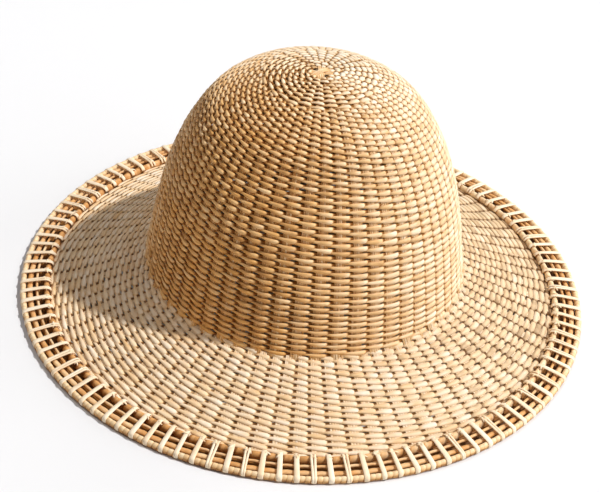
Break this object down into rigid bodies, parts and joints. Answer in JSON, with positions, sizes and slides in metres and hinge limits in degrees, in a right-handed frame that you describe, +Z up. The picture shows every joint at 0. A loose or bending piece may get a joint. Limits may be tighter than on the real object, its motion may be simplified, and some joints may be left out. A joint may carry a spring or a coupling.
{
  "type": "wicker pith helmet",
  "caption": "Woven cane sun hat in pith helmet form: deep round hollow crown, broad sloping brim and an open ladder border round the rim. Shades the wearer's head.",
  "frame": {"origin": "on the surface that the hat rests on, under the middle of the crown", "axes": "+Z up through the top of the crown; the hat is round, so X and Y are alike, and the picture looks along +Y"},
  "size_m": [0.34, 0.34, 0.1531],
  "materials": {
    "crown_weave": "woven natural cane, satin",
    "brim_weave": "woven natural cane, satin",
    "border_cane": "round cane, satin",
    "rim_cane": "cane wound with flat strip, satin",
    "strip_cane": "flat split cane, satin"
  },
  "bodies": {
    "root": {"crown": "crown_weave", "brim": "brim_weave", "inner_rim_rod": "border_cane", "border_rod_outer": "border_cane", "border_rod_inner": "border_cane", "outer_rim_roll": "rim_cane", "border_strips": "strip_cane"}
  },
  "joints": []
}
